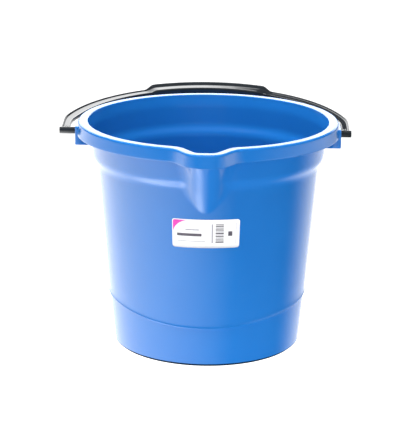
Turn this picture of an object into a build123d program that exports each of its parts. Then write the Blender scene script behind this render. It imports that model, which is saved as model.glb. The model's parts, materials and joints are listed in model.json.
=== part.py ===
from build123d import *
import math
import os

# Florist bucket with a pouring spout and a moulded bail handle, in millimetres.
# +Z is up. The origin is the centre of the foot ring, on the surface that the bucket stands on.
# The spout points towards -Y and the handle turns about an axis along X.

# Rim: a flat top with a skirt turned down around it
RIM_TOP = 263.3
RIM_THICKNESS = 2.3
SKIRT_HEIGHT = 14.8
SKIRT_THICKNESS = 2.0
MOUTH_RADIUS = 139.0
RIM_WIDTH = 11.0
SKIRT_FLARE = 2.0
RIM_EDGE_FILLET = 1.6

# Wall: a band below the rim, a rounded shoulder, a tapering wall and an inset band at the foot
WALL = 2.0
BAND_TOP_RADIUS = 136.6
BAND_TOP = 246.0
LIP_TOP = 262.3
UNDER_RIM_RADIUS = 141.0
BAND_FOOT_RADIUS = 134.8
BAND_FOOT = 227.0
SHOULDER_MID_RADIUS = 131.2
SHOULDER_MID = 217.5
WALL_TOP_RADIUS = 127.5
WALL_TOP = 208.0
WALL_TAPER = 0.0822
SHOULDER_RISE_INSIDE = 3.0
FOOT_RADIUS = 109.0
FOOT_TAPER = 0.0925
FOOT_EDGE_CHAMFER = 2.6
FOOT_RING_WIDTH = 4.5
FOOT_RECESS = 3.5
FLOOR_THICKNESS = 2.6

# Where the upper wall's solid ends, out of sight inside the foot band
TRIM_HEIGHT = 40.0

# The line where the wall steps in to the foot band: low at front and back, high at the sides
STEP_LOW = 46.6
STEP_HIGH = 62.4
STEP_HALF_SPAN = 120.0

# Spout: a nose in the rim that runs down the wall as a tapering channel
SPOUT_REACH = 164.5
SPOUT_TIP_HALF = 10.2
SPOUT_SIDE_SLOPE = 0.625
SPOUT_CORNER = 9.0
SPOUT_ROOT = 18.0
NOSE_BASE_SHARE = 0.9
CHANNEL_FOOT = 178.0
CHANNEL_FOOT_REACH = 121.5
CHANNEL_FOOT_TIP_HALF = 4.0
CHANNEL_FOOT_CORNER = 3.5
CHANNEL_DEPTH = 25.0

# Pivot blocks: one box-shaped block under the rim at each side, with a blind hole for a handle pin
BLOCK_FACE = 152.6
BLOCK_HALF_WIDTH = 22.0
BLOCK_BOTTOM = 235.8
BLOCK_TOP = 257.5
BLOCK_INNER = 133.5
BLOCK_UNDER_RIM = 147.5
PIVOT_HEIGHT = 248.25
PIN_RADIUS = 4.0
PIN_CLEARANCE = 0.06
PIN_TIP = 142.0
PIN_HEAD = 168.9
BORE_END = 137.5

# Handle, flat in its own plane: X across the bucket, Y out from the pivots, Z across the handle
HANDLE_REST_TILT = 5.5
HANDLE_REST_SHIFT = -3.5
HANDLE_RADIUS = 173.0
HANDLE_WIDTH = 14.0
LEG_FACE = 167.2
LEG_WIDTH = 9.7
LEG_BLEND = 70.0
OUTER_FLANGE = 3.6
INNER_FLANGE = 1.8
OUTER_FLANGE_HALF = 4.0
INNER_FLANGE_HALF = 2.4
WEB_HALF = 1.2
GRIP_HALF_SPAN = 68.0
GRIP_RAMP = 11.0
GRIP_OUTER = 174.0
GRIP_INNER = 154.0
GRIP_HALF = 8.4
GRIP_FILLET = 2.6
LEG_RIB_INSETS = (4.4, 6.6)
LEG_RIB_LENGTH = 14.0
LEG_RIB_THICKNESS = 1.4

# Label: a thin sticker that follows the wall below the spout
LABEL_WIDTH = 75.5
LABEL_TOP = 178.0
LABEL_BOTTOM = 144.8
LABEL_CENTRE_X = 0.5
LABEL_THICKNESS = 0.2
LABEL_GAP = 0.05
LABEL_CORNER = 3.0

# How far a cutting shape runs past the surface it cuts
OVERCUT = 5.0


def wall_radius(height):
    """Outside radius of the tapering wall."""
    return WALL_TOP_RADIUS - (WALL_TOP - height) * WALL_TAPER


def foot_radius(height):
    """Outside radius of the inset band at the foot."""
    return FOOT_RADIUS + height * FOOT_TAPER


def spout_outline(radius, reach, tip_half, corner, root):
    """A circle with a blunt nose towards -Y, its outside corners and its two roots rounded."""
    base = radius * NOSE_BASE_SHARE
    base_half = tip_half + (reach - base) * SPOUT_SIDE_SLOPE
    nose = Polygon(
        (-tip_half, -reach), (tip_half, -reach), (base_half, -base), (-base_half, -base), align=None
    )
    shape = Circle(radius) + nose
    tips = shape.vertices().sort_by(Axis.Y)[0:2]
    shape = fillet(tips, corner)
    roots = [
        v for v in shape.vertices()
        if v.Y < -1 and abs(math.hypot(v.X, v.Y) - radius) < 0.01
    ]
    return fillet(roots, root)


def mouth_outline():
    """The inside edge of the rim."""
    return spout_outline(MOUTH_RADIUS, SPOUT_REACH, SPOUT_TIP_HALF, SPOUT_CORNER, SPOUT_ROOT)


def between(lower, low, upper, high):
    """A straight-sided solid from one outline at height low to another at height high."""
    sections = [Pos(0, 0, low) * lower, Pos(0, 0, high) * upper]
    return loft(sections, ruled=True)


def rim():
    """The rim's flat top and its skirt, still closed over the mouth."""
    mouth = mouth_outline()
    top = offset(mouth, RIM_WIDTH)
    bottom = offset(mouth, RIM_WIDTH + SKIRT_FLARE)
    outer = between(bottom, RIM_TOP - SKIRT_HEIGHT, top, RIM_TOP)
    edge = outer.faces().sort_by(Axis.Z)[-1].edges()
    outer = fillet(edge, RIM_EDGE_FILLET)
    inner_bottom = offset(mouth, RIM_WIDTH + SKIRT_FLARE - SKIRT_THICKNESS)
    inner_top = offset(mouth, RIM_WIDTH - SKIRT_THICKNESS)
    hollow = between(inner_bottom, RIM_TOP - SKIRT_HEIGHT, inner_top, RIM_TOP - RIM_THICKNESS)
    return outer - hollow


def turned(points_and_curves):
    """A solid of revolution about Z from a closed outline in the XZ plane."""
    return revolve(make_face(points_and_curves), Axis.Z)


def shoulder(offset_in, rise):
    """The shoulder's profile, from the top of the wall to the foot of the band."""
    start = (WALL_TOP_RADIUS - offset_in, 0, WALL_TOP + rise)
    middle = (SHOULDER_MID_RADIUS - offset_in, 0, SHOULDER_MID + rise)
    end = (BAND_FOOT_RADIUS - offset_in, 0, BAND_FOOT + rise)
    slope = (WALL_TAPER, 0, 1)
    return Spline(start, middle, end, tangents=[slope, slope])


def outer_wall():
    """The bucket's outside as one closed solid, without the spout."""
    plate = RIM_TOP - RIM_THICKNESS / 2
    curve = shoulder(0, 0)
    upper = turned([
        curve,
        Line(curve @ 1, (BAND_TOP_RADIUS, 0, BAND_TOP)),
        Line((BAND_TOP_RADIUS, 0, BAND_TOP), (UNDER_RIM_RADIUS, 0, plate)),
        Line((UNDER_RIM_RADIUS, 0, plate), (0, 0, plate)),
        Line((0, 0, plate), (0, 0, TRIM_HEIGHT)),
        Line((0, 0, TRIM_HEIGHT), (wall_radius(TRIM_HEIGHT), 0, TRIM_HEIGHT)),
        Line((wall_radius(TRIM_HEIGHT), 0, TRIM_HEIGHT), curve @ 0),
    ])
    return (upper - below_step()) + foot_band()


def below_step():
    """All the space under the step line, an arc seen from the front."""
    far = WALL_TOP_RADIUS + OVERCUT
    arc = ThreePointArc(
        (-STEP_HALF_SPAN, 0, STEP_HIGH), (0, 0, STEP_LOW), (STEP_HALF_SPAN, 0, STEP_HIGH)
    )
    side = Polyline(
        (STEP_HALF_SPAN, 0, STEP_HIGH), (STEP_HALF_SPAN, 0, 0),
        (-STEP_HALF_SPAN, 0, 0), (-STEP_HALF_SPAN, 0, STEP_HIGH)
    )
    return extrude(make_face([arc, side]), far, dir=(0, 1, 0), both=True)


def foot_band():
    """The inset band at the foot, chamfered underneath so it stands on a narrow ring."""
    top = STEP_HIGH + OVERCUT
    return turned([Polyline(
        (0, 0, 0), (FOOT_RADIUS - FOOT_EDGE_CHAMFER, 0, 0),
        (foot_radius(FOOT_EDGE_CHAMFER), 0, FOOT_EDGE_CHAMFER),
        (foot_radius(top), 0, top), (0, 0, top), (0, 0, 0)
    )])


def cavity():
    """The space inside the bucket, up through the mouth, without the spout."""
    floor = FOOT_RECESS + FLOOR_THICKNESS
    above = RIM_TOP + OVERCUT
    curve = shoulder(WALL, SHOULDER_RISE_INSIDE)
    lip = (BAND_TOP_RADIUS - WALL, 0, BAND_TOP)
    return turned([
        curve,
        Line(curve @ 1, lip),
        Line(lip, (MOUTH_RADIUS, 0, LIP_TOP)),
        Polyline((MOUTH_RADIUS, 0, LIP_TOP), (MOUTH_RADIUS, 0, above), (0, 0, above), (0, 0, floor)),
        Line((0, 0, floor), (foot_radius(floor) - WALL, 0, floor)),
        Line((foot_radius(floor) - WALL, 0, floor), (foot_radius(STEP_LOW) - WALL, 0, STEP_LOW)),
        Line((foot_radius(STEP_LOW) - WALL, 0, STEP_LOW), curve @ 0),
    ])


def spout_channel(extra, top):
    """The spout's tapering nose, grown outwards by extra, from its foot up to height top."""
    height = RIM_TOP - CHANNEL_FOOT
    part_way = (top - CHANNEL_FOOT) / height
    reach = CHANNEL_FOOT_REACH + (SPOUT_REACH - CHANNEL_FOOT_REACH) * part_way
    half = CHANNEL_FOOT_TIP_HALF + (SPOUT_TIP_HALF - CHANNEL_FOOT_TIP_HALF) * part_way
    lower = channel_section(CHANNEL_FOOT_REACH, CHANNEL_FOOT_TIP_HALF, CHANNEL_FOOT_CORNER, extra)
    upper = channel_section(reach, half, SPOUT_CORNER, extra)
    return between(lower, CHANNEL_FOOT, upper, top)


def channel_section(reach, tip_half, corner, extra):
    """One level cut through the spout's nose, running well inside the wall."""
    base = CHANNEL_FOOT_REACH - CHANNEL_DEPTH
    base_half = tip_half + (reach - base) * SPOUT_SIDE_SLOPE
    nose = Polygon(
        (-tip_half, -reach), (tip_half, -reach), (base_half, -base), (-base_half, -base), align=None
    )
    tips = nose.vertices().sort_by(Axis.Y)[0:2]
    return offset(fillet(tips, corner), extra) if extra else fillet(tips, corner)


def block_part(side, inner, outer, top):
    """A box from the block's bottom to height top, between two distances from the middle."""
    centre = Pos(side * (inner + outer) / 2, 0, (BLOCK_BOTTOM + top) / 2)
    return centre * Box(outer - inner, 2 * BLOCK_HALF_WIDTH, top - BLOCK_BOTTOM)


def pivot_block(side):
    """One pivot block: up to the plate inside the skirt, and lower where it comes out through it."""
    inside = block_part(side, BLOCK_INNER, BLOCK_UNDER_RIM, RIM_TOP - RIM_THICKNESS / 2)
    return inside + block_part(side, BLOCK_INNER, BLOCK_FACE, BLOCK_TOP)


def pivot_bore(side):
    """The blind hole that holds one handle pin."""
    length = BLOCK_FACE - BORE_END + OVERCUT
    centre = Pos(side * (BORE_END + length / 2), 0, PIVOT_HEIGHT)
    return centre * Rot(0, 90, 0) * Cylinder(PIN_RADIUS + PIN_CLEARANCE, length)


def bucket_body():
    """The whole bucket: one moulding."""
    body = rim() + outer_wall() + spout_channel(WALL, RIM_TOP - RIM_THICKNESS / 2)
    body = body + pivot_block(1) + pivot_block(-1)
    mouth = Pos(0, 0, RIM_TOP - RIM_THICKNESS) * extrude(mouth_outline(), RIM_THICKNESS + OVERCUT)
    recess = Cylinder(
        FOOT_RADIUS - FOOT_RING_WIDTH, FOOT_RECESS, align=(Align.CENTER, Align.CENTER, Align.MIN)
    )
    body = body - cavity() - spout_channel(0, RIM_TOP) - mouth - recess
    return body - pivot_bore(1) - pivot_bore(-1)


def hoop(inset):
    """The area inside the handle's outside edge moved in by inset: an arch on two legs that taper."""
    radius = HANDLE_RADIUS - inset
    face = LEG_FACE - inset * LEG_WIDTH / HANDLE_WIDTH
    arch = Circle(radius) & Pos(0, radius / 2) * Rectangle(2 * face, radius)
    shoulders = [v for v in arch.vertices() if v.Y > 1]
    return fillet(shoulders, LEG_BLEND - inset)


def hoop_strip(start, end):
    """The part of the handle between two insets from its outside edge."""
    return hoop(start) - hoop(end)


def handle_bar():
    """The handle's two legs and arch: a web between a tall outer flange and a low inner one."""
    outer = extrude(hoop_strip(0, OUTER_FLANGE), OUTER_FLANGE_HALF, both=True)
    web = extrude(hoop_strip(OUTER_FLANGE / 2, HANDLE_WIDTH - INNER_FLANGE / 2), WEB_HALF, both=True)
    inner = extrude(
        hoop_strip(HANDLE_WIDTH - INNER_FLANGE, HANDLE_WIDTH), INNER_FLANGE_HALF, both=True
    )
    return outer + web + inner


def grip():
    """The thick grip in the middle of the arch, sloping down to the bar at each end."""
    ring = extrude(Circle(GRIP_OUTER) - Circle(GRIP_INNER), GRIP_HALF, both=True)
    foot = GRIP_HALF_SPAN + GRIP_RAMP
    side = Polygon(
        (-foot, -WEB_HALF), (-GRIP_HALF_SPAN, -GRIP_HALF), (GRIP_HALF_SPAN, -GRIP_HALF), (foot, -WEB_HALF),
        (foot, WEB_HALF), (GRIP_HALF_SPAN, GRIP_HALF), (-GRIP_HALF_SPAN, GRIP_HALF), (-foot, WEB_HALF),
        align=None
    )
    block = ring & extrude(Plane.XZ * side, -2 * GRIP_OUTER)
    long_edges = [e for e in block.edges() if e.length > GRIP_HALF_SPAN]
    return fillet(long_edges, GRIP_FILLET)


def leg_end(side):
    """One pin and the two short ribs that brace the leg against it."""
    length = PIN_HEAD - PIN_TIP
    pin = Pos(side * (PIN_TIP + length / 2), 0, 0) * Rot(0, 90, 0) * Cylinder(PIN_RADIUS, length)
    shape = pin
    for inset in LEG_RIB_INSETS:
        x = side * (LEG_FACE - inset)
        rib = Box(LEG_RIB_THICKNESS, LEG_RIB_LENGTH, 2 * INNER_FLANGE_HALF)
        shape = shape + Pos(x, LEG_RIB_LENGTH / 2, 0) * rib
    return shape


def bail_handle():
    """The handle in its place at rest, folded back over the rim."""
    flat = handle_bar() + grip() + leg_end(1) + leg_end(-1)
    return Pos(HANDLE_REST_SHIFT, 0, PIVOT_HEIGHT) * Rot(HANDLE_REST_TILT, 0, 0) * flat


def label():
    """The sticker, a thin patch of cone with rounded corners."""
    tall = LABEL_TOP - LABEL_BOTTOM
    middle = (LABEL_TOP + LABEL_BOTTOM) / 2
    low = LABEL_BOTTOM - OVERCUT
    high = LABEL_TOP + OVERCUT
    inner_low = wall_radius(low) + LABEL_GAP
    inner_high = wall_radius(high) + LABEL_GAP
    shell = turned([Polyline(
        (inner_low, 0, low), (inner_low + LABEL_THICKNESS, 0, low),
        (inner_high + LABEL_THICKNESS, 0, high), (inner_high, 0, high), (inner_low, 0, low)
    )])
    radius = wall_radius(middle)
    chord = 2 * radius * math.sin(LABEL_WIDTH / (2 * radius))
    stamp = Plane.XZ * Pos(LABEL_CENTRE_X, middle) * RectangleRounded(chord, tall, LABEL_CORNER)
    return shell & extrude(stamp, radius + OVERCUT)


os.makedirs("parts", exist_ok=True)
export_step(bucket_body(), "parts/bucket_body.step")
export_step(bail_handle(), "parts/bail_handle.step")
export_step(label(), "parts/label.step")
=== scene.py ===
import json
import math

import bpy
from mathutils import Matrix, Vector


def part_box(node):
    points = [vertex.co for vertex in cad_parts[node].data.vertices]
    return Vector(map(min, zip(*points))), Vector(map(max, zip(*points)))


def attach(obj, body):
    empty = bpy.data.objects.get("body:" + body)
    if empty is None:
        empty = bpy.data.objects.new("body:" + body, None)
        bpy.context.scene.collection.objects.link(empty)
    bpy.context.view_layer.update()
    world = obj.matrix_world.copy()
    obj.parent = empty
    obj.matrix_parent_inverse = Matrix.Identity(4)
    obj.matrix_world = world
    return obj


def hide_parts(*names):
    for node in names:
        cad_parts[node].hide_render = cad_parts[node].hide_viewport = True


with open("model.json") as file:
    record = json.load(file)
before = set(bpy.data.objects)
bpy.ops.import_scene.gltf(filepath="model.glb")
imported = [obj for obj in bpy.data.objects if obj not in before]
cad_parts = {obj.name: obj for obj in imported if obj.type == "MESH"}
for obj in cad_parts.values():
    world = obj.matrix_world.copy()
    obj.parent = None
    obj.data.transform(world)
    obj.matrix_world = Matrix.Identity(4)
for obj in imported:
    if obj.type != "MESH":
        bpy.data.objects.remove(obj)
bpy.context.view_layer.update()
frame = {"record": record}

# Florist bucket with a spout and a moulded bail handle. Shapes are written in millimetres in the CAD frame
# and turned into metres when a mesh is made. Angles round the bucket start at the spout, which faces -Y.
MM = 0.001

BODY_LOW, BODY_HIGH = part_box("bucket_body")
HANDLE_LOW, HANDLE_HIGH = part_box("bail_handle")
LABEL_LOW, LABEL_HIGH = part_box("label")
PIVOT = next(j for j in frame["record"]["behaviour"]["joints"] if j["name"] == "handle_pivot")

# Rim, measured outwards from the inside edge of its flat top
RIM_TOP = BODY_HIGH.z / MM
SKIRT_FOOT = RIM_TOP - 14.8
SKIRT_RADIUS = BODY_HIGH.y / MM
RIM_WIDTH = 11.0
SKIRT_FLARE = 2.0
MOUTH = SKIRT_RADIUS - RIM_WIDTH - SKIRT_FLARE
PLATE = 2.3
SKIRT_WALL = 2.0
RIM_ROUND = 2.6
MOUTH_ROUND = 1.2

# Spout nose in the rim
REACH = -BODY_LOW.y / MM - RIM_WIDTH - SKIRT_FLARE
NOSE_HALF = 10.2
NOSE_CORNER = 9.0
NOSE_SLOPE = 0.625
NOSE_SPREAD = math.tan(math.atan(1.0 / NOSE_SLOPE) / 2)
ROOT_BLEND = 8.0

# Spout channel below the rim: a keel line that runs down and in, and fades into the wall at the tip
CHANNEL_TIP = 185.0
KEEL_REACH, KEEL_HEIGHT = 121.5, 178.0
TIP_HALF = 4.5
KEEL_SLOPE = (REACH - KEEL_REACH) / (RIM_TOP - KEEL_HEIGHT)
TIP_FADE = 5.0
BLEND_FADE = 9.0
CHANNEL_BLEND = 10.0
CHANNEL_WIDENS = 30.0
NEAR_RIM, NEAR_RIM_BLEND = 232.0, 30.0
TIP_CORNER_SHARE = 0.58
SPOUT_SECTOR = 0.6

# Wall
WALL = 2.0
BAND_TOP, BAND_TOP_RADIUS = 246.0, 136.6
UNDER_RIM_RADIUS = 141.0
BAND_FOOT, BAND_FOOT_RADIUS = 228.0, 134.8
WALL_TOP, WALL_TOP_RADIUS = 209.0, 127.6
WALL_TAPER = 0.0822
LEDGE_RISE = 4.0
INSIDE_MID = 172.0
FOOT_RADIUS = 109.0
FOOT_TAPER = 0.0925
STEP_LOW = 46.6
STEP_RISE = 0.0011
STEP_LIP = 1.0
STEP_LIP_FADE = 2.0
FOOT_EDGE = 2.6
FOOT_RING = 4.5
FOOT_RECESS = 3.5
FLOOR_TOP = 6.1
FLOOR_COVE = 5.0

# Pivot blocks
BLOCK_FACE = BODY_HIGH.x / MM
BLOCK_HALF = 22.0
BLOCK_FOOT = 235.8
BLOCK_TOP = 257.5
BLOCK_CORNER = 1.6
BLOCK_SINK = 0.3
PIVOT_HEIGHT = PIVOT["pos_m"][2] / MM
PIN_RADIUS = 4.0
BORE_RADIUS = 4.3
BORE_DEPTH = 14.6
HANDLE_SHIFT = (HANDLE_LOW.x + HANDLE_HIGH.x) / 2 / MM
PIN_HEAD = (HANDLE_HIGH.x - HANDLE_LOW.x) / 2 / MM
PIN_TIP = 142.0


# ---------------------------------------------------------------- curves


def nose_radius(angle, reach, half, corner, slope):
    """Polar radius of the spout's blunt nose: a flat tip, a rounded corner and a slanting side."""
    turn = math.atan(1.0 / slope)
    flat = half - corner * math.tan(turn / 2)
    centre = reach - corner
    sine, cosine = math.sin(angle), math.cos(angle)
    at_tip = reach / cosine
    if at_tip * sine <= flat:
        return at_tip
    at_side = (half + slope * reach) / (sine + slope * cosine)
    if at_side * cosine <= centre + corner * math.cos(turn):
        return at_side
    along = flat * sine + centre * cosine
    return along + math.sqrt(along ** 2 - flat ** 2 - centre ** 2 + corner ** 2)


def smooth_max(a, b, blend):
    """The larger of two lengths, rounded where they are about equal."""
    near = max(blend - abs(a - b), 0.0) / blend
    return max(a, b) + near * near * blend / 4


def mix(a, b, t):
    return a + (b - a) * t


def smooth(t):
    """0 to 1 with level ends."""
    t = min(max(t, 0.0), 1.0)
    return t * t * (3 - 2 * t)


def bezier(a, b, c, d, steps):
    """Points on a cubic curve from a to d, without a itself."""
    points = []
    for i in range(1, steps + 1):
        t = i / steps
        w = ((1 - t) ** 3, 3 * t * (1 - t) ** 2, 3 * t * t * (1 - t), t ** 3)
        points.append(tuple(sum(k * p[n] for k, p in zip(w, (a, b, c, d))) for n in range(2)))
    return points


def arc(centre, radius, start, end, steps):
    """Points on an arc, angles in degrees."""
    points = []
    for i in range(steps + 1):
        angle = math.radians(mix(start, end, i / steps))
        points.append((centre[0] + radius * math.cos(angle), centre[1] + radius * math.sin(angle)))
    return points


def line(a, b, steps):
    """Points on a straight line from a to b, without a itself."""
    return [(mix(a[0], b[0], i / steps), mix(a[1], b[1], i / steps)) for i in range(1, steps + 1)]


# ---------------------------------------------------------------- meshes and objects


def new_object(name, vertices, faces, material, flat=False):
    """An object from millimetre points."""
    mesh = bpy.data.meshes.new(name)
    mesh.from_pydata([(x * MM, y * MM, z * MM) for x, y, z in vertices], [], faces)
    mesh.validate()
    mesh.update()
    for polygon in mesh.polygons:
        polygon.use_smooth = not flat
    mesh.materials.append(material)
    piece = bpy.data.objects.new(name, mesh)
    bpy.context.scene.collection.objects.link(piece)
    return piece


def grid_faces(rows, columns, close_rows=False, close_columns=False):
    """Quads of a grid whose vertices run row by row."""
    faces = []
    for j in range(rows if close_rows else rows - 1):
        for i in range(columns if close_columns else columns - 1):
            a = j * columns + i
            b = j * columns + (i + 1) % columns
            c = ((j + 1) % rows) * columns + (i + 1) % columns
            d = ((j + 1) % rows) * columns + i
            faces.append((a, b, c, d))
    return faces


# ---------------------------------------------------------------- bucket moulding


def columns_round():
    """Angles round the bucket from the spout, closer together over the spout."""
    spout_end, fine, coarse = 18.0, 72, 162
    half = [spout_end * i / fine for i in range(fine)]
    half += [mix(spout_end, 180.0, i / coarse) for i in range(coarse + 1)]
    other = [-a for a in reversed(half[1:-1])]
    return [math.radians(a) for a in half + other]


def rim_station(out, height):
    """A level of the rim, out millimetres from the mouth's edge."""
    corner = NOSE_CORNER + out
    half = NOSE_HALF + out * NOSE_SPREAD

    def place(angle):
        nose = nose_radius(abs(angle), REACH + out, half, corner, NOSE_SLOPE)
        return smooth_max(MOUTH + out, nose, ROOT_BLEND), height
    return place


def wall_station(radius, height, extra):
    """A level of the wall. extra is how far the spout's nose stands outside the channel's inside."""
    rise = height - CHANNEL_TIP
    if rise <= 0:
        return lambda angle: (radius, height)
    keel = KEEL_REACH + extra + KEEL_SLOPE * (height - KEEL_HEIGHT)
    reach = radius + (keel - radius) * (1 - math.exp(-rise / TIP_FADE))
    near_rim = smooth((height - NEAR_RIM) / NEAR_RIM_BLEND)
    half = mix(TIP_HALF, NOSE_HALF, smooth(rise / CHANNEL_WIDENS))
    corner = mix(half / TIP_CORNER_SHARE, NOSE_CORNER, near_rim) + extra
    half += extra * NOSE_SPREAD
    blend = mix(CHANNEL_BLEND, ROOT_BLEND, near_rim) * (1 - math.exp(-rise / BLEND_FADE))

    def place(angle):
        if abs(angle) > SPOUT_SECTOR:
            return radius, height
        nose = nose_radius(abs(angle), reach, half, corner, NOSE_SLOPE)
        return smooth_max(radius, nose, blend), height
    return place


def wall_rings(profile, extra):
    """Levels of the wall through each (radius, height) of a profile."""
    return [wall_station(r, z, extra) for r, z in profile]


def wall_radius(height):
    """Outside radius of the tapered wall."""
    return WALL_TOP_RADIUS - (WALL_TOP - height) * WALL_TAPER


def foot_radius(height):
    """Outside radius of the foot band."""
    return FOOT_RADIUS + height * FOOT_TAPER


def step_height(angle):
    """The height of the line where the wall steps in to the foot band."""
    across = wall_radius(STEP_LOW) * math.sin(angle)
    return STEP_LOW + STEP_RISE * across ** 2


def foot_station(share):
    """A level of the foot band: share 0 is its foot and 1 the step line."""
    def place(angle):
        height = mix(FOOT_EDGE + 0.2, step_height(angle) - 0.5, share)
        return foot_radius(height), height
    return place


def step_station(out, up):
    """A line along the step, out from the foot band and up from the step line."""
    def place(angle):
        height = step_height(angle) + up
        return foot_radius(step_height(angle)) + out, height
    return place


def upper_station(share):
    """A level of the upper wall: share 0 is the step's lip and 1 the wall's top."""
    def place(angle):
        foot = step_height(angle) + 0.9
        height = mix(foot, WALL_TOP, share)
        lip = STEP_LIP * math.exp(-(height - foot) / STEP_LIP_FADE)
        return wall_radius(height) + lip, height
    return place


def band_radius(height):
    """Outside radius of the band under the rim."""
    if height < BAND_TOP:
        return mix(BAND_FOOT_RADIUS, BAND_TOP_RADIUS, (height - BAND_FOOT) / (BAND_TOP - BAND_FOOT))
    return mix(BAND_TOP_RADIUS, UNDER_RIM_RADIUS - 1.5, (height - BAND_TOP) / (RIM_TOP - PLATE - BAND_TOP))


def outside_stations():
    """From the foot up the outside to the plate under the rim."""
    edge = foot_radius(FOOT_EDGE)
    profile = line((FOOT_RADIUS - FOOT_EDGE, 0.0), (edge - 0.8, FOOT_EDGE - 0.75), 3)
    profile += [(edge - 0.35, FOOT_EDGE - 0.5), (edge - 0.08, FOOT_EDGE - 0.15)]
    stations = wall_rings(profile, WALL)
    stations += [foot_station(i / 14) for i in range(15)]
    stations += [step_station(0.02, -0.2), step_station(0.2, -0.04), step_station(1.15, -0.04)]
    stations += [step_station(1.5, 0.05), step_station(1.66, 0.3)]
    shares = [0.0, 0.004, 0.01, 0.02, 0.035, 0.055, 0.08, 0.11]
    shares += [0.15 + 0.05 * i for i in range(13)]
    stations += [upper_station(s) for s in shares]
    wall = line((wall_radius(KEEL_HEIGHT), KEEL_HEIGHT), (WALL_TOP_RADIUS, WALL_TOP), 26)
    stations += wall_rings(wall, WALL)
    stations += wall_rings(shoulder_points(0.0, 0.0), WALL)
    band = line((BAND_FOOT_RADIUS, BAND_FOOT), (BAND_TOP_RADIUS, BAND_TOP), 10)
    stations += wall_rings(band, WALL)
    under = RIM_TOP - PLATE
    cove = bezier(band[-1], (BAND_TOP_RADIUS + 0.6, BAND_TOP + 6),
                  (UNDER_RIM_RADIUS - 1.8, under - 5), (UNDER_RIM_RADIUS - 0.8, under - 1.5), 10)
    stations += wall_rings(cove, WALL)
    return stations


def shoulder_points(inwards, rise):
    """The shoulder's rounded profile, from the wall's top up to the band."""
    low = (WALL_TOP_RADIUS - inwards, WALL_TOP + rise)
    high = (BAND_FOOT_RADIUS - inwards, BAND_FOOT + rise)
    pull = (BAND_FOOT - WALL_TOP) * 0.48
    return bezier(low, (low[0] + pull * WALL_TAPER, low[1] + pull),
                  (high[0] - pull * WALL_TAPER, high[1] - pull), high, 18)


def rim_stations():
    """From under the plate, down inside the skirt, round its edge, up and over the rim to the mouth."""
    under = RIM_TOP - PLATE
    inner_top = RIM_WIDTH - SKIRT_WALL
    inner_foot = inner_top + SKIRT_FLARE
    outer_foot = RIM_WIDTH + SKIRT_FLARE
    profile = [(3.0, under)] + line((3.0, under), (inner_top - 1.2, under), 4)
    profile += [(inner_top - 0.4, under - 0.3), (inner_top, under - 1.2)]
    profile += line((inner_top, under - 1.2), (inner_foot - 0.3, SKIRT_FOOT + 0.6), 6)
    profile += arc((inner_foot + 0.3, SKIRT_FOOT + 0.6), 0.6, 180, 270, 4)
    profile += arc((outer_foot - 0.6, SKIRT_FOOT + 0.6), 0.6, 270, 365, 6)
    profile += line(profile[-1], (RIM_WIDTH + 0.25, RIM_TOP - RIM_ROUND), 8)
    profile += arc((RIM_WIDTH + 0.22 - RIM_ROUND, RIM_TOP - RIM_ROUND), RIM_ROUND, 8, 90, 12)
    profile += line(profile[-1], (MOUTH_ROUND, RIM_TOP), 5)
    profile += arc((MOUTH_ROUND, RIM_TOP - MOUTH_ROUND), MOUTH_ROUND, 95, 170, 7)
    return [rim_station(out, z) for out, z in profile]


def inside_stations():
    """From the mouth down the inside to the floor."""
    band_top = BAND_TOP_RADIUS - WALL
    lip = bezier((MOUTH, RIM_TOP - 1.3), (MOUTH - 1.6, RIM_TOP - 7),
                 (band_top + 0.6, BAND_TOP + 6), (band_top, BAND_TOP), 12)
    stations = wall_rings(lip, 0.0)
    ledge = list(reversed(shoulder_points(WALL, LEDGE_RISE)))
    stations += wall_rings(line(lip[-1], ledge[0], 10), 0.0)
    stations += wall_rings(ledge[1:], 0.0)
    low = (WALL_TOP_RADIUS - WALL, WALL_TOP + LEDGE_RISE)
    stations += wall_rings([low], 0.0)
    mid = (wall_radius(INSIDE_MID) - WALL, INSIDE_MID)
    stations += wall_rings(line(low, mid, 26), 0.0)
    foot = (foot_radius(FLOOR_TOP + FLOOR_COVE) - WALL, FLOOR_TOP + FLOOR_COVE)
    stations += wall_rings(line(mid, foot, 12), 0.0)
    cove = arc((foot[0] - FLOOR_COVE, foot[1]), FLOOR_COVE, 0, -90, 8)
    stations += wall_rings(cove[1:], 0.0)
    panel_edge, panel_middle = (86.6, FLOOR_TOP + 0.5), (24, FLOOR_TOP + 0.9)
    floor = line(cove[-1], (88, FLOOR_TOP), 3) + [(87.4, FLOOR_TOP + 0.1), panel_edge]
    floor += line(panel_edge, panel_middle, 6) + line(panel_middle, (2, FLOOR_TOP + 1.0), 3)
    stations += wall_rings(floor, 0.0)
    return stations


def underside_stations():
    """From the gate mark in the middle of the underside out to the foot ring."""
    ceiling = FOOT_RECESS
    gate = ceiling - 0.9
    profile = [(1.5, gate), (3.4, gate), (4.0, ceiling - 0.7), (4.2, ceiling - 0.1), (5.2, ceiling)]
    profile += line((5.2, ceiling), (82, ceiling), 6)
    profile += [(82.5, ceiling - 0.5), (83.5, ceiling - 0.5), (84, ceiling)]
    edge = FOOT_RADIUS - FOOT_RING
    profile += [(edge - 1.6, ceiling), (edge - 0.5, ceiling - 0.4), (edge, ceiling - 1.4)]
    profile += [(edge + 0.1, 0.6), (edge + 0.3, 0.15), (edge + 0.8, 0.0), (FOOT_RADIUS - FOOT_EDGE, 0.0)]
    return wall_rings(profile, WALL)


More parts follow.
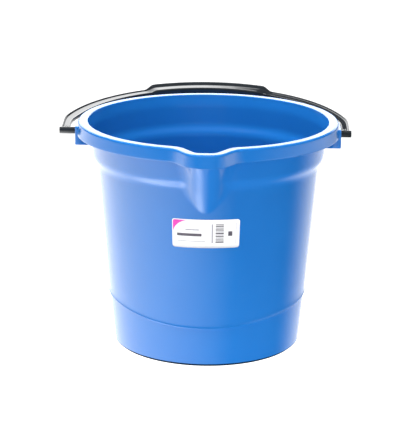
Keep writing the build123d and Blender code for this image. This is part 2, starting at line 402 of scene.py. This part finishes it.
def bucket_shell(material):
    """The whole moulding but its pivot blocks as one closed skin: every station is a ring of points. The
    skirt runs on through the blocks, so the pins cross its lower edge inside them."""
    stations = underside_stations() + outside_stations() + rim_stations() + inside_stations()
    angles = columns_round()
    vertices = []
    for place in stations:
        for angle in angles:
            radius, height = place(angle)
            vertices.append((radius * math.sin(angle), -radius * math.cos(angle), height))
    count = len(angles)
    faces = grid_faces(len(stations), count, close_columns=True)
    for row, flip in ((0, True), (len(stations) - 1, False)):
        centre_height = vertices[row * count][2]
        vertices.append((0.0, 0.0, centre_height))
        for i in range(count):
            a, b = row * count + i, row * count + (i + 1) % count
            faces.append((b, a, len(vertices) - 1) if flip else (a, b, len(vertices) - 1))
    return new_object("bucket_shell", vertices, faces, material)


def rounded_rectangle(half_width, low, high, corner, steps):
    """Outline points of a rectangle with rounded corners, centred on width 0."""
    side, top, foot = half_width - corner, high - corner, low + corner
    corners = [arc(centre, corner, start, start + 90, steps) for centre, start in (
        ((side, top), 0), ((-side, top), 90), ((-side, foot), 180), ((side, foot), 270))]
    points = []
    for number, corner_points in enumerate(corners):
        points += corner_points + line(corner_points[-1], corners[(number + 1) % 4][0], 12)[:-1]
    return points


def pivot_block(side, material):
    """One pivot block: a rounded box with a blind hole for the handle's pin."""
    outline = rounded_rectangle(BLOCK_HALF, BLOCK_FOOT, BLOCK_TOP, BLOCK_CORNER, 6)
    z_mid, z_half = (BLOCK_FOOT + BLOCK_TOP) / 2, (BLOCK_TOP - BLOCK_FOOT) / 2
    count = len(outline)
    middle = Vector((0.0, PIVOT_HEIGHT))
    ring = []
    for y, z in outline:
        away = (Vector((y, z)) - middle).normalized()
        ring.append((away.x, away.y))
    rows = []

    def hole_row(radius, x):
        rows.append([(x, d[0] * radius, PIVOT_HEIGHT + d[1] * radius) for d in ring])

    def edge_row(x, inset):
        row = []
        for y, z in outline:
            scale_y = (BLOCK_HALF - inset) / BLOCK_HALF
            row.append((x, y * scale_y, z_mid + (z - z_mid) * (z_half - inset) / z_half))
        rows.append(row)

    bore_end = BLOCK_FACE - BORE_DEPTH
    hole_row(0.2, bore_end)
    hole_row(BORE_RADIUS, bore_end)
    hole_row(BORE_RADIUS, BLOCK_FACE - 0.5)
    hole_row(BORE_RADIUS + 0.15, BLOCK_FACE - 0.12)
    hole_row(BORE_RADIUS + 0.5, BLOCK_FACE)
    edge_row(BLOCK_FACE, 0.9)
    edge_row(BLOCK_FACE - 0.12, 0.42)
    edge_row(BLOCK_FACE - 0.42, 0.12)
    edge_row(BLOCK_FACE - 0.9, 0.0)
    rows.append([(math.sqrt((band_radius(z) - BLOCK_SINK) ** 2 - y ** 2), y, z) for y, z in outline])
    vertices = [(side * x, y, z) for row in rows for x, y, z in row]
    vertices.append((side * (band_radius(z_mid) - BLOCK_SINK), 0.0, z_mid))
    faces = grid_faces(len(rows), count, close_columns=True)
    faces.append(tuple(range(count))[::-1])
    last = (len(rows) - 1) * count
    faces += [(last + i, last + (i + 1) % count, last + count) for i in range(count)]
    if side < 0:
        faces = [f[::-1] for f in faces]
    name = "pivot_block_right" if side > 0 else "pivot_block_left"
    return new_object(name, vertices, faces, material)


# ---------------------------------------------------------------- handle moulding

HANDLE_TILT = 5.5
ARCH_RADIUS = 173.0
LEG_FACE = 167.2
LEG_BLEND = 70.0
GRIP_HALF = 68.0
GRIP_RAMP = 11.0
ARCH_FROM = 80.0
LEG_STEPS, BLEND_STEPS, ARCH_STEPS = 24, 26, 150
RIB_INSETS = (4.4, 6.6)
RIB_SECTIONS = ((0.3, 2.3), (9.0, 2.3), (12.5, 2.0), (13.9, 1.2))
PIN_SIDES = 48

# The legs stay narrow until they are past the pivot blocks, then widen to the whole bar
LEG_TAPER = 0.69
TAPER_START, TAPER_END = 22.0, 60.0

# Top half of the handle's section as (inset from the outside edge, height), for the bar and for the grip
BAR_TOP = (
    (0.0, 0.8), (0.0, 1.5), (0.08, 1.9), (0.3, 2.25), (0.65, 2.45), (1.1, 2.5), (1.5, 2.45), (1.85, 2.25),
    (2.05, 1.95), (2.2, 1.7), (2.35, 1.5), (2.7, 1.35), (4.0, 1.3), (6.4, 1.3), (8.8, 1.3), (11.0, 1.3),
    (12.0, 1.35), (12.3, 1.55), (12.5, 1.8), (12.8, 2.0), (13.2, 2.05), (13.6, 1.9), (13.9, 1.5), (14.0, 0.8),
)
GRIP_TOP = (
    (-0.95, 2.0), (-0.95, 5.0), (-0.8, 6.6), (-0.2, 7.7), (0.8, 8.25), (1.8, 8.35), (2.9, 8.15), (3.8, 7.6),
    (4.4, 6.9), (4.8, 6.3), (5.2, 5.8), (5.8, 5.5), (7.5, 5.45), (9.5, 5.45), (11.5, 5.45), (13.5, 5.45),
    (15.5, 5.45), (17.0, 5.4), (17.9, 5.1), (18.5, 4.5), (18.8, 3.7), (18.92, 2.9), (18.95, 2.0), (18.95, 1.2),
)


def handle_path():
    """Points (x, y, angle of the outward normal) along the handle's outside edge, right to left."""
    blend_x = LEG_FACE - LEG_BLEND
    blend_y = math.sqrt((ARCH_RADIUS - LEG_BLEND) ** 2 - blend_x ** 2)
    turn = math.atan2(blend_y, blend_x)
    path = [(LEG_FACE, blend_y * i / LEG_STEPS, 0.0) for i in range(LEG_STEPS)]
    path += [(blend_x + LEG_BLEND * math.cos(a), blend_y + LEG_BLEND * math.sin(a), a)
             for a in (turn * i / BLEND_STEPS for i in range(BLEND_STEPS))]
    path += [(ARCH_RADIUS * math.cos(a), ARCH_RADIUS * math.sin(a), a)
             for a in (mix(turn, math.pi - turn, i / ARCH_STEPS) for i in range(ARCH_STEPS + 1))]
    right = path[:LEG_STEPS + BLEND_STEPS]
    path += [(-x, y, math.pi - a) for x, y, a in reversed(right)]
    return path


def bar_section(thick, taper):
    """The handle's section: thick 0 is the legs and arch, 1 the grip; taper narrows it towards the pins."""
    top = [(mix(b[0] * taper, g[0], thick), mix(b[1], g[1], thick)) for b, g in zip(BAR_TOP, GRIP_TOP)]
    return top + [(inset, -height) for inset, height in reversed(top)]


def to_handle_place(x, y, z):
    """From the handle's own plane to where it rests, tilted up behind the rim."""
    tilt = math.radians(HANDLE_TILT)
    return (x + HANDLE_SHIFT, y * math.cos(tilt) - z * math.sin(tilt),
            PIVOT_HEIGHT + y * math.sin(tilt) + z * math.cos(tilt))


def handle_bar(material):
    """Legs, arch and grip as one swept skin."""
    path = handle_path()
    vertices = []
    for x, y, angle in path:
        thick = 1 - smooth((abs(x) - GRIP_HALF) / GRIP_RAMP) if y > ARCH_FROM else 0.0
        taper = mix(LEG_TAPER, 1.0, smooth((y - TAPER_START) / (TAPER_END - TAPER_START)))
        for inset, height in bar_section(thick, taper):
            px = x - inset * math.cos(angle)
            py = y - inset * math.sin(angle)
            vertices.append(to_handle_place(px, py, height))
    count = 2 * len(BAR_TOP)
    faces = grid_faces(len(path), count, close_columns=True)
    faces.append(tuple(range(count))[::-1])
    last = (len(path) - 1) * count
    faces.append(tuple(last + i for i in range(count)))
    return new_object("handle_bar", vertices, [f[::-1] for f in faces], material)


def leg_rib(side, number, inset, material):
    """A short rib that braces a leg against its pin and slopes down to the leg's web."""
    vertices = []
    for y, half in RIB_SECTIONS:
        for x, z in ((0.6, half - 0.3), (0.3, half), (-0.3, half), (-0.6, half - 0.3),
                     (-0.6, 0.3 - half), (-0.3, -half), (0.3, -half), (0.6, 0.3 - half)):
            vertices.append(to_handle_place(side * (LEG_FACE - inset) + x, y, z))
    faces = grid_faces(4, 8, close_columns=True)
    faces += [tuple(range(8))[::-1], tuple(range(24, 32))]
    name = "leg_rib_%s_%d" % ("right" if side > 0 else "left", number)
    return new_object(name, vertices, [f[::-1] for f in faces], material)


def pivot_pin(side, material):
    """One pin: a cylinder with eased ends and a shallow dimple in its outer end."""
    profile = [(PIN_TIP, 0.0), (PIN_TIP, 2.9), (PIN_TIP + 0.5, 3.5), (PIN_TIP + 1.2, PIN_RADIUS)]
    profile += [(BLOCK_FACE, PIN_RADIUS), (PIN_HEAD - 0.6, PIN_RADIUS), (PIN_HEAD - 0.2, PIN_RADIUS - 0.15)]
    profile += [(PIN_HEAD, PIN_RADIUS - 0.5), (PIN_HEAD, 2.2), (PIN_HEAD - 0.25, 1.9), (PIN_HEAD - 0.3, 0.0)]
    vertices = []
    for x, radius in profile:
        for i in range(PIN_SIDES):
            a = 2 * math.pi * i / PIN_SIDES
            vertices.append(to_handle_place(side * x, radius * math.cos(a), radius * math.sin(a)))
    faces = grid_faces(len(profile), PIN_SIDES, close_columns=True)
    if side < 0:
        faces = [f[::-1] for f in faces]
    name = "pivot_pin_right" if side > 0 else "pivot_pin_left"
    return new_object(name, vertices, faces, material)


# ---------------------------------------------------------------- label

SHEET_CORNER, PRINT_CORNER, BAR_CORNER = 2.8, 0.25, 0.15
SHEET_LIFT, PATCH_LIFT, PRINT_LIFT = 0.16, 0.19, 0.2
LABEL_SKIN = 0.05


def label_point(across, up, lift):
    """A point of the label: across and up in mm from its lower left corner, lifted off the wall."""
    low, high = LABEL_LOW.z / MM, LABEL_HIGH.z / MM
    middle = (LABEL_LOW.x + LABEL_HIGH.x) / 2 / MM
    height = low + up
    mean = wall_radius((low + high) / 2)
    angle = (across - label_size()[0] / 2 + middle) / mean
    radius = wall_radius(height) + lift
    return (radius * math.sin(angle), -radius * math.cos(angle), height)


def label_size():
    """Width round the wall and height of the label, in mm."""
    low, high = LABEL_LOW.z / MM, LABEL_HIGH.z / MM
    mean = wall_radius((low + high) / 2)
    half = (LABEL_HIGH.x - LABEL_LOW.x) / 2 / MM
    return 2 * mean * math.asin(half / mean), high - low


def label_sheet(name, left, right, low, high, corner, lift, material):
    """A thin sheet on the wall with rounded corners, placed from the label's lower left corner."""
    width, height = right - left, high - low
    across = [corner * (1 - math.cos(math.pi * i / 16)) for i in range(9)]
    steps = max(int(width / 3), 1)
    across += [mix(corner, width - corner, i / steps) for i in range(1, steps)]
    across += [width - a for a in reversed(across[:9])]
    rows = 8
    vertices, columns = [], len(across)
    for skin in (lift, lift - LABEL_SKIN):
        for a in across:
            edge = max(corner - min(a, width - a), 0.0)
            trim = corner - math.sqrt(max(corner ** 2 - edge ** 2, 0.0))
            for j in range(rows + 1):
                up = mix(trim, height - trim, j / rows)
                vertices.append(label_point(left + a, low + up, skin))
    front = grid_faces(columns, rows + 1)
    back = [tuple(v + columns * (rows + 1) for v in f[::-1]) for f in front]
    rim = [i * (rows + 1) for i in range(columns)]
    rim += [(columns - 1) * (rows + 1) + j for j in range(1, rows + 1)]
    rim += [i * (rows + 1) + rows for i in range(columns - 2, -1, -1)]
    rim += [j for j in range(rows - 1, 0, -1)]
    under = columns * (rows + 1)
    sides = [(rim[i], rim[i] + under, rim[(i + 1) % len(rim)] + under, rim[(i + 1) % len(rim)])
             for i in range(len(rim))]
    return new_object(name, vertices, front + back + sides, material)


def label_corner_patch(lift, material):
    """The coloured top left corner, cut off inside by a large round curve."""
    height = label_size()[1]
    inset, corner = 0.9, 2.2
    reach_x, reach_y = 20.0, 17.0
    outer, inner = [], []
    side_end, top_start = 0.42, 0.58
    turn_x, turn_y = inset + corner, height - inset - corner
    steps = 20
    for i in range(steps + 1):
        t = i / steps
        if t < side_end:
            outer.append((inset, mix(height - reach_y, turn_y, t / side_end)))
        elif t > top_start:
            outer.append((mix(turn_x, reach_x, (t - top_start) / side_end), height - inset))
        else:
            a = math.radians(mix(180, 90, (t - side_end) / (top_start - side_end)))
            outer.append((turn_x + corner * math.cos(a), turn_y + corner * math.sin(a)))
        a = math.radians(mix(180, 90, t))
        inner.append((reach_x + (reach_x - inset) * math.cos(a),
                      height - reach_y + (reach_y - inset) * math.sin(a)))
    vertices = []
    for rows in (outer, inner):
        vertices += [label_point(a, up, lift) for a, up in rows]
    faces = [f[::-1] for f in grid_faces(2, steps + 1)]
    return new_object("label_print_corner", vertices, faces, material)


def label_outline(lift, material):
    """The thin pale line that frames the left part of the label."""
    left, right, low, high = 2.6, 41.5, 2.6, label_size()[1] - 2.4
    wide = 0.35
    corners = ((left, low, 4.0, 180), (right, low, 4.0, 270),
               (right, high, 4.0, 0), (left, high, 12.0, 90))
    vertices = []
    for x, y, radius, start in corners:
        cx = x + radius if x == left else x - radius
        cy = y + radius if y == low else y - radius
        for i in range(13):
            a = math.radians(start + 90 * i / 12)
            for r in (radius, radius - wide):
                vertices.append(label_point(cx + r * math.cos(a), cy + r * math.sin(a), lift))
    count = len(vertices) // 2
    faces = [(2 * i, 2 * i + 1, (2 * i + 3) % (2 * count), (2 * i + 2) % (2 * count)) for i in range(count)]
    return new_object("label_print_outline", vertices, faces, material)


# Plain printed blocks: name, left, right, low, high in mm from the label's lower left corner, and the ink
LABEL_BLOCKS = (
    ("wide", 5.5, 33.0, 13.6, 16.8, "dark"),
    ("short", 15.0, 30.0, 20.6, 21.8, "grey"),
    ("rule", 5.5, 37.0, 7.4, 8.0, "grey"),
    ("square", 62.6, 67.2, 14.0, 19.4, "dark"),
    ("edge", 71.0, 72.0, 5.0, 29.0, "pale"),
    ("tally", 44.2, 45.6, 6.0, 28.0, "grey"),
)
BAR_HEIGHTS = (1.6, 0.6, 0.9, 0.4, 1.2, 0.5, 1.5, 0.5, 0.8, 1.1, 0.4, 1.4, 0.7)
BAR_LEFT, BAR_RIGHT, BAR_LOW, BAR_GAP = 48.6, 57.6, 6.2, 0.85


# ---------------------------------------------------------------- materials


def node_material(name):
    material = bpy.data.materials.new(name)
    material.use_nodes = True
    nodes, links = material.node_tree.nodes, material.node_tree.links
    return material, nodes, links, nodes["Principled BSDF"]


def noise(nodes, links, coordinate, scale, detail=3.0, roughness=0.55):
    node = nodes.new("ShaderNodeTexNoise")
    node.inputs["Scale"].default_value = scale
    node.inputs["Detail"].default_value = detail
    node.inputs["Roughness"].default_value = roughness
    links.new(coordinate, node.inputs["Vector"])
    return node.outputs["Fac"]


def ranged(nodes, links, value, low, high):
    """Maps a 0.3 to 0.7 noise onto low to high."""
    node = nodes.new("ShaderNodeMapRange")
    node.inputs["From Min"].default_value = 0.3
    node.inputs["From Max"].default_value = 0.7
    node.inputs["To Min"].default_value = low
    node.inputs["To Max"].default_value = high
    links.new(value, node.inputs["Value"])
    return node.outputs["Result"]


def mixed_colour(nodes, links, factor, a, b):
    node = nodes.new("ShaderNodeMix")
    node.data_type = "RGBA"
    node.inputs["A"].default_value = (*a, 1)
    node.inputs["B"].default_value = (*b, 1)
    links.new(factor, node.inputs["Factor"])
    return node.outputs["Result"]


def bumped(nodes, links, height, distance, strength, before=None):
    node = nodes.new("ShaderNodeBump")
    node.inputs["Distance"].default_value = distance
    node.inputs["Strength"].default_value = strength
    links.new(height, node.inputs["Height"])
    if before is not None:
        links.new(before, node.inputs["Normal"])
    return node.outputs["Normal"]


def object_place(nodes):
    """The point on the piece itself, in metres."""
    return nodes.new("ShaderNodeTexCoord").outputs["Object"]


def eased_ramp(nodes, links, value, low, high):
    """0 below low, 1 above high, eased between."""
    node = nodes.new("ShaderNodeMapRange")
    node.interpolation_type = "SMOOTHSTEP"
    node.inputs["From Min"].default_value = low
    node.inputs["From Max"].default_value = high
    links.new(value, node.inputs["Value"])
    return node.outputs["Result"]


def calculated(nodes, links, operation, a, b):
    """A sum on two numbers or sockets."""
    node = nodes.new("ShaderNodeMath")
    node.operation = operation
    for socket, value in zip(node.inputs, (a, b)):
        if isinstance(value, float):
            socket.default_value = value
        else:
            links.new(value, socket)
    return node.outputs["Value"]


def blended(nodes, links, low, high, factor):
    """low where the factor is 0 and high where it is 1."""
    kept = calculated(nodes, links, "MULTIPLY", low, calculated(nodes, links, "SUBTRACT", 1.0, factor))
    return calculated(nodes, links, "ADD", kept, calculated(nodes, links, "MULTIPLY", high, factor))


# Heights in metres below which the bucket is painted dark, fully and then fading out: painted shade standing
# in for the shadow under the foot's edge
FOOT_SHADE_FULL, FOOT_SHADE_TOP = 0.0028, 0.0034


def bucket_plastic():
    """Blue moulded polypropylene, glossy, with a very fine grain and slow waves. The foot ring, its
    chamfered edge and the gate mark lie lower than 3.4 mm and are painted near black, without reflections, as
    shade under the foot."""
    material, nodes, links, shader = node_material("bucket_plastic")
    place = object_place(nodes)
    slow = noise(nodes, links, place, 14.0, 2.0)
    grain = noise(nodes, links, place, 900.0, 2.0)
    scuffs = noise(nodes, links, place, 160.0, 5.0, 0.7)
    tone = ranged(nodes, links, slow, 0.0, 1.0)
    colour = mixed_colour(nodes, links, tone, (0.011, 0.150, 0.49), (0.013, 0.160, 0.51))
    split = nodes.new("ShaderNodeSeparateXYZ")
    links.new(place, split.inputs["Vector"])
    # Painted shade: below these heights the foot ring, its chamfered edge and the gate mark are coloured near
    # black
    outside_foot_shade = eased_ramp(nodes, links, split.outputs["Z"], FOOT_SHADE_FULL, FOOT_SHADE_TOP)
    foot_shade_paint = nodes.new("ShaderNodeMix")
    foot_shade_paint.data_type = "RGBA"
    foot_shade_paint.inputs["A"].default_value = (0.003, 0.012, 0.03, 1)
    links.new(colour, foot_shade_paint.inputs["B"])
    links.new(outside_foot_shade, foot_shade_paint.inputs["Factor"])
    links.new(foot_shade_paint.outputs["Result"], shader.inputs["Base Color"])
    # The painted shade under the foot also gets no reflections
    links.new(calculated(nodes, links, "MULTIPLY", outside_foot_shade, 0.5), shader.inputs["Specular IOR Level"])
    links.new(ranged(nodes, links, scuffs, 0.12, 0.18), shader.inputs["Roughness"])
    waves = bumped(nodes, links, slow, 0.004, 0.06)
    links.new(bumped(nodes, links, grain, 0.0001, 0.08, waves), shader.inputs["Normal"])
    shader.inputs["IOR"].default_value = 1.49
    return material


def handle_plastic():
    """Black moulded plastic, glossy, with faint scuffs."""
    material, nodes, links, shader = node_material("handle_plastic")
    place = object_place(nodes)
    slow = noise(nodes, links, place, 30.0, 2.0)
    scuffs = noise(nodes, links, place, 240.0, 5.0, 0.7)
    tone = ranged(nodes, links, slow, 0.0, 1.0)
    colour = mixed_colour(nodes, links, tone, (0.012, 0.015, 0.018), (0.017, 0.021, 0.026))
    links.new(colour, shader.inputs["Base Color"])
    links.new(ranged(nodes, links, scuffs, 0.05, 0.10), shader.inputs["Roughness"])
    links.new(bumped(nodes, links, slow, 0.002, 0.05), shader.inputs["Normal"])
    shader.inputs["IOR"].default_value = 1.5
    return material


def label_film():
    """White printed film with a slight sheen."""
    material, nodes, links, shader = node_material("label_film")
    place = object_place(nodes)
    slow = noise(nodes, links, place, 60.0, 3.0)
    tone = ranged(nodes, links, slow, 0.0, 1.0)
    colour = mixed_colour(nodes, links, tone, (0.84, 0.84, 0.86), (0.90, 0.90, 0.91))
    links.new(colour, shader.inputs["Base Color"])
    links.new(ranged(nodes, links, slow, 0.35, 0.5), shader.inputs["Roughness"])
    links.new(bumped(nodes, links, slow, 0.0008, 0.15), shader.inputs["Normal"])
    return material


def ink(name, tint):
    """Printed ink on the label, uneven in strength."""
    material, nodes, links, shader = node_material("label_ink_" + name)
    place = object_place(nodes)
    speckle = noise(nodes, links, place, 700.0, 3.0)
    lighter = tuple(min(c * 1.25 + 0.02, 1.0) for c in tint)
    colour = mixed_colour(nodes, links, ranged(nodes, links, speckle, 0.0, 1.0), tint, lighter)
    links.new(colour, shader.inputs["Base Color"])
    shader.inputs["Roughness"].default_value = 0.45
    return material


# ---------------------------------------------------------------- stage, light, camera


# The floor's glow round the foot, further out and at the horizon, and its half size in mm
FLOOR_NEAR = 1.5
FLOOR_MIDDLE = 0.35
FLOOR_HORIZON = 1.2
FLOOR_HALF = 6000


def floor_stage():
    """A pale floor that glows a little, most round the bucket's foot and far away."""
    material, nodes, links, shader = node_material("stage_floor")
    shader.inputs["Base Color"].default_value = (0.5, 0.5, 0.5, 1)
    shader.inputs["Emission Color"].default_value = (1.0, 1.0, 1.0, 1)
    away = nodes.new("ShaderNodeVectorMath")
    away.operation = "LENGTH"
    links.new(object_place(nodes), away.inputs[0])
    past_foot = eased_ramp(nodes, links, away.outputs["Value"], 0.12, 0.45)
    glow = blended(nodes, links, FLOOR_NEAR, FLOOR_MIDDLE, past_foot)
    to_horizon = eased_ramp(nodes, links, away.outputs["Value"], 0.8, 2.5)
    links.new(blended(nodes, links, glow, FLOOR_HORIZON, to_horizon), shader.inputs["Emission Strength"])
    shader.inputs["Roughness"].default_value = 0.9
    shader.inputs["Specular IOR Level"].default_value = 0.0
    corners = [(x * FLOOR_HALF, y * FLOOR_HALF, 0) for x, y in ((-1, -1), (1, -1), (1, 1), (-1, 1))]
    floor = new_object("floor", corners, [(0, 1, 2, 3)], material, flat=True)
    floor.visible_glossy = False


def area_light(name, place, target, size, watts):
    """A soft rectangular lamp that isn't seen in reflections."""
    data = bpy.data.lights.new(name, "AREA")
    data.shape = "RECTANGLE"
    data.size, data.size_y = size
    data.energy = watts
    lamp = bpy.data.objects.new(name, data)
    lamp.location = place
    lamp.rotation_mode = "QUATERNION"
    lamp.rotation_quaternion = (Vector(target) - Vector(place)).to_track_quat("-Z", "Y")
    lamp.visible_glossy = False
    bpy.context.scene.collection.objects.link(lamp)


# Strength of the surroundings below the horizon (GLOW), at it (LEVEL), above it (HIGH) and overhead
GLOW_FRONT = 1.4
GLOW_LEFT = 2.7
GLOW_BEHIND = 1.6
GLOW_DEEP = 1.5
LEVEL_LEFT = 2.1
LEVEL_RIGHT = 2.0
LEVEL_BEHIND = 3.6
HIGH_LEFT = 3.5
HIGH_RIGHT = 0.05
TOP_LIGHT = 0.25
TOP_WATTS = 120
FRONT_WATTS = 22


def studio():
    """Surroundings by direction. Below the horizon they glow in front and on the left, at the horizon on both
    sides and behind, and higher up mostly behind on the left. Two soft lamps that add no reflections, a strong
    one overhead and a weak one in front, complete the light."""
    world = bpy.data.worlds.new("studio")
    bpy.context.scene.world = world
    world.use_nodes = True
    nodes, links = world.node_tree.nodes, world.node_tree.links
    direction = nodes.new("ShaderNodeTexCoord").outputs["Generated"]
    split = nodes.new("ShaderNodeSeparateXYZ")
    links.new(direction, split.inputs["Vector"])
    x, y, z = (split.outputs[n] for n in "XYZ")

    def ramp(value, low, high):
        return eased_ramp(nodes, links, value, low, high)

    def blend(low, high, factor):
        return blended(nodes, links, low, high, factor)

    def calc(operation, a, b):
        return calculated(nodes, links, operation, a, b)

    # Below the horizon: bright in front and on the left, dimmer towards the right
    leftwards = calc("MAXIMUM", calc("MULTIPLY", x, -1.0), 0.0)
    glow = calc("ADD", calc("MULTIPLY", leftwards, GLOW_LEFT), GLOW_FRONT)
    down = calc("MULTIPLY", z, -1.0)
    dimmed = blend(ramp(x, -0.08, 0.55), ramp(x, -0.45, 0.3), ramp(down, 0.6, 0.8))
    glow = calc("MULTIPLY", glow, calc("SUBTRACT", 1.0, dimmed))
    deeper = calc("MULTIPLY", ramp(down, 0.72, 0.92), GLOW_DEEP)
    glow = calc("MULTIPLY", glow, calc("ADD", deeper, 1.0))
    below = calc("MAXIMUM", glow, calc("MULTIPLY", ramp(y, 0.1, 0.75), GLOW_BEHIND))
    # At the horizon: both sides, and behind
    sides = calc("ADD", calc("MULTIPLY", ramp(leftwards, 0.2, 0.8), LEVEL_LEFT),
                 calc("MULTIPLY", ramp(x, 0.5, 0.95), LEVEL_RIGHT))
    sides = calc("MULTIPLY", sides, calc("SUBTRACT", 1.0, ramp(z, -0.04, 0.06)))
    behind = calc("MULTIPLY", ramp(y, 0.7, 0.95), calc("MULTIPLY", ramp(z, 0.02, 0.12), LEVEL_BEHIND))
    level = calc("MAXIMUM", sides, behind)
    # Higher up: behind, mostly on the left
    high = blend(HIGH_LEFT, HIGH_RIGHT, ramp(x, -0.02, 0.012))
    high = calc("MULTIPLY", high, ramp(y, 0.55, 0.85))
    total = blend(below, level, ramp(z, -0.25, -0.05))
    total = blend(total, high, ramp(z, 0.30, 0.37))
    total = blend(total, TOP_LIGHT, ramp(z, 0.55, 0.75))
    nodes["Background"].inputs["Color"].default_value = (1, 1, 1, 1)
    links.new(total, nodes["Background"].inputs["Strength"])
    area_light("top_lamp", (-0.35, 0.0, 2.4), (0.0, 0.0, 0.0), (2.4, 2.2), TOP_WATTS)
    area_light("front_lamp", (0.3, -2.1, 0.7), (0.0, 0.0, 0.15), (2.0, 1.0), FRONT_WATTS)


# Focal length and longer side of the picture in pixels, then metres and degrees
FOCAL_PX = 1808.8
IMAGE_LONG = 432
CAMERA_DISTANCE = 2.121
CAMERA_ELEVATION = 15.68
CAMERA_AZIMUTH = 0.9
CAMERA_ROLL = 0.61
LOOK_AT = Vector((0.0024, 0.0, 0.1474))


def make_camera():
    """The camera at the photograph's viewing angle."""
    data = bpy.data.cameras.new("camera")
    data.sensor_width = 36.0
    data.lens = FOCAL_PX / IMAGE_LONG * data.sensor_width
    camera = bpy.data.objects.new("camera", data)
    bpy.context.scene.collection.objects.link(camera)
    elevation, roll = math.radians(CAMERA_ELEVATION), math.radians(CAMERA_ROLL)
    back = Vector((0.0, -math.cos(elevation), math.sin(elevation)))
    right = Vector((1.0, 0.0, 0.0))
    up = Vector((0.0, math.sin(elevation), math.cos(elevation)))
    rolled_right = right * math.cos(roll) + up * math.sin(roll)
    rolled_up = up * math.cos(roll) - right * math.sin(roll)
    place = Matrix((rolled_right, rolled_up, back)).transposed().to_4x4()
    place.translation = LOOK_AT + back * CAMERA_DISTANCE
    camera.matrix_world = Matrix.Rotation(math.radians(CAMERA_AZIMUTH), 4, "Z") @ place
    bpy.context.scene.camera = camera


# ---------------------------------------------------------------- build

make_camera()
floor_stage()
studio()
bpy.context.scene.view_settings.view_transform = "Standard"

blue = bucket_plastic()
black = handle_plastic()

shell = bucket_shell(blue)
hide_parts("bucket_body")
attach(shell, "bucket")
for side in (1, -1):
    block = pivot_block(side, blue)
    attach(block, "bucket")

bar = handle_bar(black)
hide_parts("bail_handle")
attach(bar, "handle")
bar.visible_glossy = False  # so that the back of the shiny rim stays bright
for side in (1, -1):
    leg_pieces = [pivot_pin(side, black)]
    leg_pieces += [leg_rib(side, number, inset, black) for number, inset in enumerate(RIB_INSETS)]
    for piece in leg_pieces:
        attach(piece, "handle")

film = label_film()
inks = {
    "magenta": ink("magenta", (0.62, 0.03, 0.36)),
    "dark": ink("dark", (0.07, 0.06, 0.08)),
    "grey": ink("grey", (0.30, 0.29, 0.33)),
    "pale": ink("pale", (0.62, 0.62, 0.66)),
}
width, height = label_size()
sheet = label_sheet("label_sheet", 0.0, width, 0.0, height, SHEET_CORNER, SHEET_LIFT, film)
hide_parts("label")
label_pieces = [sheet, label_corner_patch(PATCH_LIFT, inks["magenta"]),
                label_outline(PATCH_LIFT, inks["pale"])]
for name, left, right, low, high, tone in LABEL_BLOCKS:
    label_pieces.append(label_sheet("label_print_" + name, left, right, low, high,
                                    PRINT_CORNER, PRINT_LIFT, inks[tone]))
bar_low = BAR_LOW
for number, height in enumerate(BAR_HEIGHTS):
    name = "label_print_bar_%02d" % number
    label_pieces.append(label_sheet(name, BAR_LEFT, BAR_RIGHT, bar_low, bar_low + height,
                                    BAR_CORNER, PRINT_LIFT, inks["dark"]))
    bar_low += height + BAR_GAP
for piece in label_pieces:
    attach(piece, "bucket")
